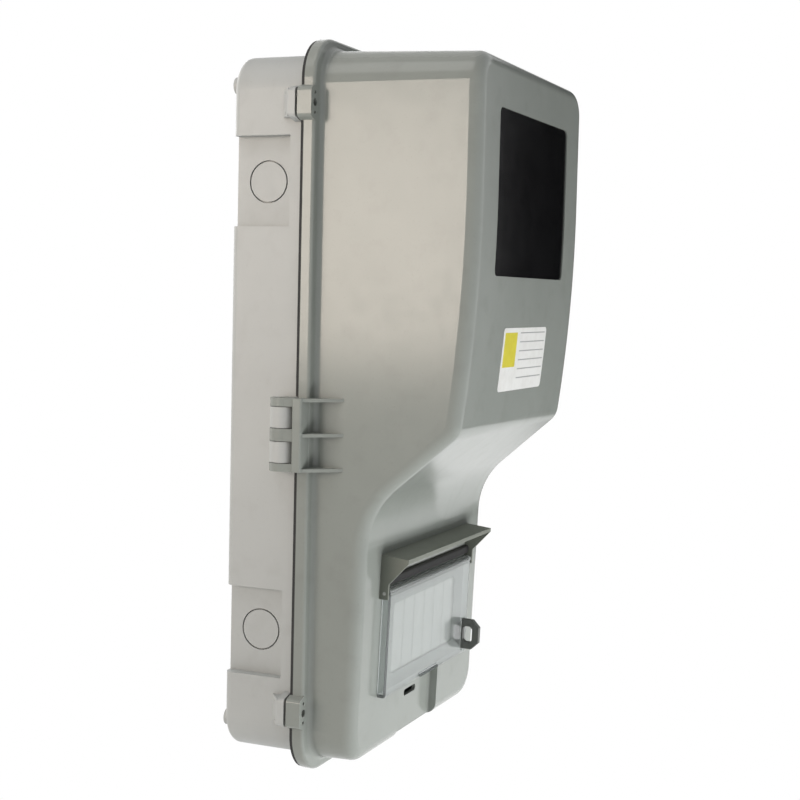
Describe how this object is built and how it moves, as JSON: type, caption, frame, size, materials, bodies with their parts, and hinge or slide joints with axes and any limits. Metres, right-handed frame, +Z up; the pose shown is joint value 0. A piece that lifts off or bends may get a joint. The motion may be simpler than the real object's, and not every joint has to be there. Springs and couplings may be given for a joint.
{
  "type": "wall-mounted meter distribution box",
  "caption": "Tall wall box for a meter and breakers: shallow base tray, deep hinged cover with a dark viewing window, and a hooded clear flap over the breaker row.",
  "frame": {"origin": "centre of the wall-screw pattern on the wall plane, where the rear pads rest", "axes": "+Z up, front towards -Y, +X to the right seen from the front"},
  "size_m": [0.2454, 0.1637, 0.454],
  "materials": {
    "base_plastic": "fine satin moulding, light warm grey",
    "cover_plastic": "fine satin moulding, light grey",
    "hood_plastic": "satin moulding, mid grey",
    "dark_plastic": "satin moulding, dark grey",
    "strip_plastic": "satin moulding, pale grey",
    "plate_plastic": "smooth sheet, pale grey",
    "blue_plastic": "satin moulding, blue",
    "green_plastic": "satin moulding, green",
    "window_clear": "smoked clear plastic, polished",
    "flap_clear": "clear plastic, polished",
    "rubber": "matt black rubber",
    "steel": "zinc-plated steel",
    "zinc_steel": "zinc-plated sheet, passivated",
    "brass": "machined brass"
  },
  "bodies": {
    "base": {"base_tray": "base_plastic", "threaded_inserts": "brass", "hinge_pin": "steel", "meter_plate": "plate_plastic", "meter_plate_screws": "steel", "din_rail": "zinc_steel", "din_rail_screws": "steel", "neutral_bar": "brass", "neutral_bar_screws": "steel", "neutral_bar_feet": "blue_plastic", "earth_bar": "brass", "earth_bar_screws": "steel", "earth_bar_feet": "green_plastic"},
    "cover": {"front_cover": "cover_plastic", "cover_gasket": "rubber", "cover_screws": "steel", "meter_window": "window_clear", "window_seal": "rubber", "window_frame": "dark_plastic", "window_screws": "steel", "blanking_strip": "strip_plastic", "breaker_hood": "hood_plastic", "hood_screws": "steel", "hood_seal": "rubber", "flap_pin": "steel", "seal_staple": "dark_plastic", "staple_clip": "steel"},
    "flap": {"breaker_flap": "flap_clear"}
  },
  "joints": [
    {"name": "cover_hinge", "type": "hinge", "parent": "base", "child": "cover", "pos_m": [-0.118, -0.0464, -0.0139], "axis": [0, 0, -1], "range_deg": [0, 110]},
    {"name": "flap_hinge", "type": "hinge", "parent": "cover", "child": "flap", "pos_m": [0, -0.09797, -0.11463], "axis": [-1, 0, 0], "range_deg": [0, 110]}
  ]
}
